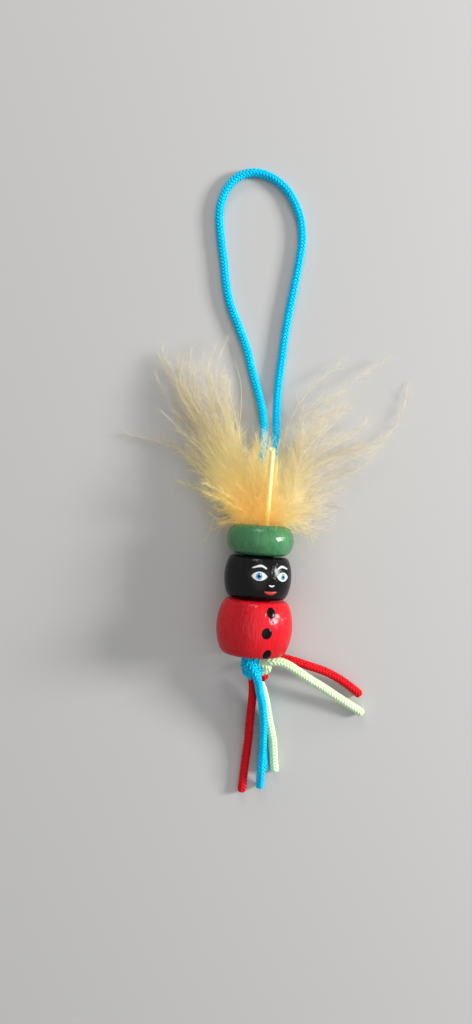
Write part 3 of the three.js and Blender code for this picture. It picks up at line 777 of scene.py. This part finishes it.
def make_limbs():
    """Each limb grows out of the knot, runs on from its pivot and ends in a cut."""
    for body, colour, nodes, root, free in LIMBS:
        free = [(x, y, height(share)) for x, y, share in free]
        limb, path, length = braid(f"{body}_braid", [*root, *free], colour, None, cut_end=True)
        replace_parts(limb, *nodes)
        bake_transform(limb)


def make_knot():
    """Tilted turns of the blue cord over a filled core, with the bends of the other two cords."""
    turns = np.linspace(0, KNOT_TURNS, KNOT_TURNS * KNOT_TURN_POINTS + 1)
    angle = math.pi / 2 - 2 * math.pi * turns
    ring = KNOT_RING_RADIUS * np.sqrt(1 - KNOT_ROUNDING * (2 * turns / KNOT_TURNS - 1) ** 2)
    across = ring * np.cos(angle)
    down_to = KNOT_TOP - (KNOT_TOP - KNOT_BOTTOM) * turns / KNOT_TURNS - KNOT_TILT * across
    points = np.stack([KNOT_SIDE + across, down_to, KNOT_HEIGHT + ring * np.sin(angle)], axis=1)
    knot, _, _ = braid("knot_turns_braid", points, "blue", "cord")
    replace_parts(knot, "blue_knot")
    rise = np.linspace(-1, 1, KNOT_CORE_RINGS)
    middle, half = (KNOT_TOP + KNOT_BOTTOM) / 2, (KNOT_TOP - KNOT_BOTTOM + CORD_RADIUS) / 2
    line = np.array([KNOT_SIDE, middle, KNOT_HEIGHT]) + rise[:, None] * (0, half, 0)
    radii = KNOT_CORE_RADIUS * np.sqrt(np.maximum(1 - rise**2, KNOT_CORE_END))
    core = tubes(rings_about(line, radii, KNOT_CORE_SIDES), (1 + rise) / 2)
    new_piece("knot_core", [core], yarn("knot_core_yarn", "blue", 2 * half), "cord")
    for colour, route in BIGHTS.items():
        bight, _, _ = braid(f"{colour}_bight_braid", route, colour, "cord")
        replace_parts(bight, f"{colour}_bight")


# Camera, floor and light
def make_camera():
    data = bpy.data.cameras.new("camera")
    data.lens = LENS
    data.sensor_width = SENSOR_LONG_SIDE
    data.clip_start = NEAREST_SEEN * MM
    camera = new_object("camera", data)
    camera.location = in_frame(CAMERA_PLACE)
    camera.rotation_euler = (0, 0, math.radians(DOLL_LEAN))
    bpy.context.scene.camera = camera


def make_floor():
    mesh = bpy.data.meshes.new("floor")
    half = FLOOR_WIDTH / 2 * MM
    corners = [(-half, -half, 0), (half, -half, 0), (half, half, 0), (-half, half, 0)]
    mesh.from_pydata(corners, [], [(0, 1, 2, 3)])
    material, _, shader = new_material("floor_pale")
    set_inputs(shader, Base_Color=(*FLOOR_COLOUR, 1), Roughness=FLOOR_ROUGHNESS)
    mesh.materials.append(material)
    new_object("floor", mesh)


def make_world():
    """Soft light from all round, behind a plain pale background."""
    world = bpy.data.worlds.new("studio")
    world.use_nodes = True
    tree = world.node_tree
    light = set_inputs(tree.nodes["Background"], Color=(*SKY_COLOUR, 1), Strength=SKY_STRENGTH)
    plain = add_node(tree, "ShaderNodeBackground", Color=(*BACKGROUND_COLOUR, 1), Strength=1.0)
    rays = add_node(tree, "ShaderNodeLightPath").outputs
    seen = rays["Is Camera Ray"]
    for ray in ("Is Glossy Ray", "Is Transmission Ray"):
        either = add_node(tree, "ShaderNodeMath", operation="MAXIMUM")
        tree.links.new(seen, either.inputs[0])
        tree.links.new(rays[ray], either.inputs[1])
        seen = either.outputs["Value"]
    mix = add_node(tree, "ShaderNodeMixShader", Fac=seen)
    tree.links.new(light.outputs["Background"], mix.inputs[1])
    tree.links.new(plain.outputs["Background"], mix.inputs[2])
    set_inputs(tree.nodes["World Output"], Surface=mix)
    bpy.context.scene.world = world


def make_light():
    for name, (place, aim, width, power) in LAMPS.items():
        data = bpy.data.lights.new(name, "AREA")
        data.size = width
        data.energy = power
        lamp = new_object(name, data)
        lamp.location = place
        lamp.rotation_euler = (Vector(aim) - Vector(place)).to_track_quat("-Z", "Y").to_euler()


# Beads
def outside_radius(up, length, radius, face_diameter, roundness):
    """A bead's radius at a height above its lower face, with rounded edges."""
    middle = 2 * up / length - 1
    face = face_diameter / 2
    side = face + (radius - face) * np.clip(1 - middle**2, 0, 1) ** (1 / roundness)
    return side - BEAD_EDGE_RADIUS * np.exp(-2 * np.minimum(up, length - up) / BEAD_EDGE_RADIUS)


def make_bead(body, face_diameter, bore, roundness, collars, colour):
    """A turned bead, whose section goes from the bore's lower edge round the outside and back."""
    bottom, length, radius, axis = bead_size(body)
    up = length * (1 - np.cos(math.pi * np.arange(BEAD_STEPS + 1) / BEAD_STEPS)) / 2
    outer = np.stack([outside_radius(up, length, radius, face_diameter, roundness), up], axis=1)
    low, high = ([(bore + out, deep - share * c) for out, deep, share in BORE_MOUTH] for c in collars)
    r, up = np.array([*low, *outer, *((out, length - deep) for out, deep in reversed(high))]).T
    angle = circle(BEAD_SIDES)
    x, z = np.outer(r, np.sin(angle)), np.outer(r, np.cos(angle))
    points = np.stack([x, bottom + up[:, None] + 0 * x, axis + z], axis=-1)
    numbers = np.arange(x.size).reshape(1, *x.shape)
    faces = cells(np.pad(numbers, ((0, 0), (0, 1), (0, 1)), mode="wrap")).reshape(-1, 4)
    around, along = np.meshgrid(np.linspace(0, 1, BEAD_SIDES + 1), np.linspace(0, 1, len(r) + 1))
    uvs = cells(np.stack([around, along], axis=-1)[None]).reshape(-1, 2)
    part = (points.reshape(-1, 3), [faces], [uvs])
    bead = new_piece(f"{body}_bead_lacquered", [part], lacquers[colour], body)
    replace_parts(bead, f"{body}_bead")


def make_beads():
    for body, values in BEADS.items():
        make_bead(body, *values)


# Paint on the beads
def painter(body, middle_angle):
    """Two functions that paint raised marks on a body's bead, around its middle angle."""
    face_diameter, _, roundness, _, _ = BEADS[body]
    bottom, length, radius, axis = bead_size(body)

    def mark(name, across, y, lift, colour):
        """A closed form from its rings' points: how far across and up the bead, and how high on it."""
        angle = math.radians(middle_angle) + across / radius
        up = np.maximum(y - bottom, PAINT_FROM_EDGE)
        r = outside_radius(up, length, radius, face_diameter, roundness) + lift
        points = np.stack([r * np.sin(angle), bottom + up, axis + r * np.cos(angle)], axis=-1)
        part = tubes(points[:, ::-1], np.linspace(0, 1, len(points)))
        new_piece(name, [part], paints[colour], body)

    def spot(name, x, y, outline, height, colour):
        """A domed spot whose outline is given round its centre."""
        dome = np.stack([DOME_RINGS, height * (1 - DOME_RINGS**2) ** DOME_ROUNDNESS], axis=1)
        share, lift = np.vstack([dome, UNDER_RINGS]).T[:, :, None]
        mark(name, x + share * outline[:, 0], y + share * outline[:, 1], lift, colour)

    def stroke(name, points, widths, height, colour):
        """A brush stroke along points, with its half widths, thickest in the middle."""
        line, length_along = smooth_line([(x, y, 0) for x, y in points], STROKE_STEP)
        tangent = unit(np.gradient(line, axis=0))
        share = np.linspace(0, 1, len(line))
        half = np.interp(share, np.linspace(0, 1, len(widths)), widths)
        to_end = np.minimum(share, 1 - share) * length_along
        half = half * np.sqrt(np.clip(to_end / STROKE_END, 0.04, 1))
        aside = half[:, None] * STROKE_SECTION[:, 0]
        lift = STROKE_SECTION[:, 1] * height + STROKE_SECTION[:, 2]
        x, y = line[:, [0]] - tangent[:, [1]] * aside, line[:, [1]] + tangent[:, [0]] * aside
        mark(name, x, y, lift, colour)

    return spot, stroke


def oval(width, height, lean=0):
    angle = circle(OVAL_POINTS)
    x, y = width / 2 * np.cos(angle), height / 2 * np.sin(angle)
    c, s = math.cos(math.radians(lean)), math.sin(math.radians(lean))
    return np.stack([c * x - s * y, s * x + c * y], axis=1)


def almond(width, height):
    angle = circle(ALMOND_POINTS)
    y = height / 2 * np.sign(np.sin(angle)) * np.abs(np.sin(angle)) ** ALMOND_SHARPNESS
    return np.stack([width / 2 * np.cos(angle), y], axis=1)


def make_face():
    """Two eyes with brows, a nose mark and closed lips."""
    spot, stroke = painter("head", FACE_ANGLE)
    brow, *brow_look = BROW
    for side, name in ((-1, "left"), (1, "right")):
        eye = side * EYE_SPREAD
        for part, (x, y, width, height, relief_height, colour) in EYE_SPOTS.items():
            outline = almond(width, height) if part == "eye_white" else oval(width, height)
            spot(f"{part}_{name}", eye + x, EYE_Y + y, outline, relief_height, colour)
        stroke(f"brow_{name}", [(eye + side * x, EYE_Y + y) for x, y in brow], *brow_look)
    stroke("nose", *NOSE)
    stroke("mouth", *MOUTH)


def make_buttons():
    spot, _ = painter("body", 0)
    radius = bead_size("body")[2]
    for k, (angle, y, width, height, lean) in enumerate(BUTTONS, 1):
        outline = oval(width, height, lean)
        spot(f"button_{k}", math.radians(angle) * radius, y, outline, BUTTON_RELIEF, "black")


# Feather
def make_quill():
    """The bare quill: a hollow cut end that stands up, and a bend in the hat's hole to the shaft."""
    middle = (HAT_TOP + QUILL_BEND) / 2
    route = [
        (QUILL_TIP_SIDE, HAT_TOP + QUILL_LENGTH_ABOVE_HAT, QUILL_RISE),
        (QUILL_SIDE - 0.06, HAT_TOP + 5, 1.6),
        (QUILL_SIDE, HAT_TOP + 1.6, 0.75),
        (QUILL_SIDE, HAT_TOP - 1, 0.05),
        (QUILL_SIDE, middle, 0),
        (QUILL_SIDE * 0.85, QUILL_BEND + 0.7, 0),
        ((QUILL_SIDE + SHAFT_SIDE) / 2, QUILL_BEND, 0),
        (SHAFT_SIDE * 0.85, QUILL_BEND + 0.7, 0),
        (SHAFT_SIDE, middle, 0),
        (SHAFT_SIDE, HAT_TOP + SHAFT_ABOVE_HAT, 0),
    ]
    line, length = smooth_line(np.array(route) + (0, 0, QUILL_ROOT_HEIGHT), QUILL_STEP)
    along = np.linspace(0, length, len(line))
    places = [0, QUILL_LENGTH_ABOVE_HAT, length]
    diameters = [QUILL_TIP_DIAMETER, QUILL_DIAMETER, SHAFT_DIAMETER]
    hollow = round(QUILL_HOLLOW_LENGTH / QUILL_STEP)
    order = np.concatenate([np.arange(hollow, -1, -1), np.arange(len(line))])
    radii = np.interp(along, places, diameters)[order] / 2
    radii[: hollow + 1] -= QUILL_WALL
    frames = [directions[order] for directions in turning_frames(line)]
    rings = rings_about(line[order], radii, QUILL_SIDES, frames)
    slant = QUILL_CUT_SLANT * np.clip(1 - along[order] / QUILL_CUT_LENGTH, 0, 1)
    rings = rings + (slant[:, None] * np.cos(circle(QUILL_SIDES)))[..., None] * frames[0][:, None]
    part = tubes(rings, np.linspace(0, 1, len(order)))
    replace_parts(new_piece("quill", [part], horn, "cord"), "feather_quill")


def feather_line(points):
    """A middle line through points whose y counts from the hat's top."""
    return smooth_line(np.array(points) + ABOVE_HAT, BARB_STEP)[0]


def plume_line(plume):
    """A plume's middle from the hat's hole to its tip, with its half width and half height."""
    stations = np.array([(*FEATHER_ROOT, ROOT_SPREAD, ROOT_SPREAD), *plume])
    line = feather_line(stations[:, :3])
    nearest = [np.argmin(np.linalg.norm(line - p, axis=1)) for p in stations[:, :3] + ABOVE_HAT]
    spread = [np.interp(np.arange(len(line)), nearest, column) for column in stations[:, 3:].T]
    return line, np.stack(spread, axis=1)


def halfway(plume_a, plume_b, share):
    """The middle line between two plumes, and its spread, at a share of the way."""
    steps = np.linspace(0, 1, max(len(plume_a[0]), len(plume_b[0])))

    def even(rows):
        places = np.linspace(0, 1, len(rows))
        return np.stack([np.interp(steps, places, column) for column in rows.T], axis=1)

    return [even(a) + (even(b) - even(a)) * share for a, b in zip(plume_a, plume_b)]


def above_floor(points):
    """Bends what would go below the floor up along it."""
    z = (points[..., 2] - FLOOR_GAP) / FLOOR_SOFTNESS
    points[..., 2] = FLOOR_GAP + FLOOR_SOFTNESS * np.logaddexp(0, z)
    return points


def barb(rng, plume, share, kind):
    """One barb of a plume, as long as a share of it, and the length and density of its hairs."""
    wander, hair_length, density = BARBS[kind]
    line, spread = (part[: max(FEWEST_BARB_POINTS, int(len(part) * share))] for part in plume)
    tangent = unit(np.gradient(line, axis=0))
    across = unit(np.cross(tangent, (0, 0, 1.0)))
    up = np.cross(across, tangent)
    along = np.linspace(0, 1, len(line))
    reach = math.sqrt(rng.uniform(0, 1)) * wander
    turn = rng.uniform(0, 2 * math.pi)
    offset = reach * np.minimum(1, along * 3)[:, None] * spread * BARB_PLACES
    side, rise = math.cos(turn) * offset[:, 0], math.sin(turn) * offset[:, 1]
    side = side + wander * rng.normal(0, BARB_BEND) * along**2
    wave, waves, start = rng.uniform(*BARB_WAVE), rng.uniform(*BARB_WAVES), rng.uniform()
    side = side + wander * wave * np.sin(2 * math.pi * (waves * along + start))
    rise = rise + wander * rng.uniform(*BARB_RISE) * along**2
    return above_floor(line + side[:, None] * across + rise[:, None] * up), hair_length, density


def hairs_on(rng, line, hair_length, density):
    """The middle lines of the hairs that stand off a barb to both sides."""
    tangent, side, cross = turning_frames(line)
    total = BARB_STEP * (len(line) - 1)
    count = int(total * HAIRS_PER_MM * density)
    at = rng.uniform(HAIRS_FROM_ROOT / BARB_STEP, len(line) - 1.001, count)
    low = at.astype(int)
    part = (at - low)[:, None]
    base = line[low] * (1 - part) + line[low + 1] * part
    ahead = tangent[low]
    roll = rng.integers(0, 2, count) * math.pi + rng.normal(0, HAIR_ROLL, count)
    out = np.cos(roll)[:, None] * side[low] + np.sin(roll)[:, None] * cross[low]
    opens = rng.uniform(*HAIR_OPENS, count)[:, None]
    aim = np.cos(opens) * ahead + np.sin(opens) * out
    left = 1 - at * BARB_STEP / total
    reach = HAIR_LENGTH * hair_length * (0.45 + 0.55 * np.sqrt(np.clip(left * 2.2, 0, 1)))
    reach = (reach * rng.uniform(*HAIR_LENGTHS, count))[:, None, None]
    t = np.linspace(0, 1, HAIR_POINTS)[None, :, None]
    bend = unit(rng.normal(0, 1, (count, 3)))[:, None]
    curl = unit(rng.normal(0, 1, (count, 3)))[:, None]
    swing = rng.uniform(*HAIR_SWINGS, (count, 1, 1))
    shape = t * aim[:, None] + t**2 * (HAIR_TURNS_ALONG * ahead[:, None] + HAIR_BEND * bend)
    shape = shape + HAIR_CURL * curl * np.sin(2 * math.pi * t * swing)
    return above_floor(base[:, None] + reach * shape)


def dye_and_painted_light(points):
    """How pale the down is at some points: 0 is the dyed root and 1 the palest tip. It grows paler
    towards +x as painted light from the right.
    """
    away = np.linalg.norm(points - (ABOVE_HAT + FEATHER_ROOT), axis=-1)
    # Painted light: paler towards +x, the side lit from the right
    away = away + PAINTED_LIGHT_RIGHT * np.maximum(points[..., 0], 0)
    return np.clip((away - DYE_INNER) / (DYE_OUTER - DYE_INNER), 0, 1)


def down_part(points, pale, tone):
    """Tubes of down, mapped by how pale their rings are, just inside the map's edges, and by tone."""
    return tubes(points, pale * 0.98 + 0.001, tone, TONE_BAND)


def down_piece(name, node, rng, barbs):
    """A piece of down from barbs, each a middle line with its hairs' length and density."""
    parts = []
    taper = np.linspace(1, HAIR_TIP_SHARE, HAIR_POINTS)
    paler = np.linspace(0, HAIR_TIP_PALER, HAIR_POINTS)
    section = circle(HAIR_SIDES)[:, None]
    for line, hair_length, density in barbs:
        radii = np.linspace(BARB_RADIUS, BARB_TIP_RADIUS, len(line))
        stem = rings_about(line, radii, BARB_SIDES)
        parts.append(down_part(stem, dye_and_painted_light(line), rng.uniform(*BARB_TONES)))
        hairs = hairs_on(rng, line, hair_length, density)
        chord = unit(hairs[:, -1] - hairs[:, 0])
        one = unit(np.cross(chord, unit(rng.normal(0, 1, chord.shape))))
        two = np.cross(chord, one)
        around = np.cos(section) * one[:, None] + np.sin(section) * two[:, None]
        thick = HAIR_RADIUS * taper * (1 - HAIR_THINNING * dye_and_painted_light(hairs[:, [0]]))
        points = hairs[:, :, None] + thick[:, :, None, None] * around[:, None]
        pale = np.clip(dye_and_painted_light(hairs) + paler + rng.normal(0, DYE_CHANCE, (len(hairs), 1)), 0, 1)
        parts.append(down_part(points, pale, rng.uniform(*HAIR_TONES, len(hairs))))
    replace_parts(new_piece(name, parts, down, "cord"), node)


def tuft_line(rng):
    """A short barb's middle line and spread, to any side and at any height above the floor."""
    aim = math.radians(rng.uniform(*TUFT_FAN))
    reach = rng.uniform(*TUFT_LENGTHS) * (1 - 0.25 * abs(aim) / math.pi)
    end_height = rng.uniform(*TUFT_END_HEIGHTS)
    x, y, z = FEATHER_ROOT
    across, along = math.sin(aim), math.cos(aim)
    line = feather_line([
        (x, y, z),
        (x + 2 * across, y + 2.3, z + rng.uniform(-0.4, 2)),
        (x + 0.45 * reach * across, 1.1 + 0.45 * reach * along, 0.5 * (z + end_height) + 0.8),
        (x + reach * across, 0.6 + reach * along, end_height),
    ])
    return line, np.full((len(line), 2), TUFT_SPREAD)


def rim_line(rng, side):
    """A bare hair that leaves the hat's hole and hangs over its rim at one side."""
    reach = rng.uniform(*RIM_REACHES)
    x, y, z = FEATHER_ROOT
    return feather_line([
        (x, y, z),
        (side * 3.2, 0.5, z + rng.uniform(0.2, 1.2)),
        (side * 6.4, rng.uniform(0.6, 2.4), z + rng.uniform(-0.5, 1.2)),
        (side * (2.5 + 0.55 * reach), rng.uniform(-1, 3), rng.uniform(6, 8.5)),
        (side * reach, rng.uniform(-5, 3), rng.uniform(3, 6)),
    ])


def vane_barbs(rng, node, plumes, k):
    """The barbs of one plume of a vane, and those that fill the space before the next plume."""
    count, shortest, between_count = FULLNESS[node][k]
    barbs = [barb(rng, plumes[k], 1, "middle")]
    for _ in range(count):
        barbs.append(barb(rng, plumes[k], rng.uniform(shortest, LONGEST_BESIDE), "beside"))
    for _ in range(between_count):
        between = halfway(plumes[k], plumes[k + 1], rng.uniform(*BETWEEN_PLUMES))
        barbs.append(barb(rng, between, rng.uniform(*BETWEEN_LENGTHS), "between"))
    return barbs


def make_down():
    rng = np.random.default_rng(FEATHER_SEED)
    bare_stem = (feather_line([FEATHER_ROOT, *BARE_STEM]), *STEM_HAIRINESS)
    for node, plumes in PLUMES.items():
        lines = [plume_line(plume) for plume in plumes]
        for k, plume in enumerate(lines):
            if node in FULLNESS:
                barbs = vane_barbs(rng, node, lines, k)
            else:
                barbs = []
                for _ in range(SHORT_DOWN_BARBS):
                    barbs.append(barb(rng, plume, rng.uniform(*SHORT_DOWN_LENGTHS), "short"))
            if (node, k) == ("feather_left_vane", 0):
                barbs.append(bare_stem)
            down_piece(f"{node}_{k + 1}", node, rng, barbs)
    for k, node in enumerate(["feather_front_down", "feather_back_down"]):
        barbs = [barb(rng, tuft_line(rng), 1, "tuft") for _ in range(TUFTS // 2)]
        barbs += [(rim_line(rng, 1 - 2 * k), *RIM_HAIRINESS) for _ in range(RIM_HAIRS[k])]
        down_piece(f"feather_tufts_{k + 1}", node, rng, barbs)


# Scene
bpy.context.scene.view_settings.view_transform = "Standard"
make_camera()
make_floor()
make_world()
make_light()
make_loop()
make_knot()
make_limbs()
make_beads()
make_face()
make_buttons()
make_quill()
make_down()
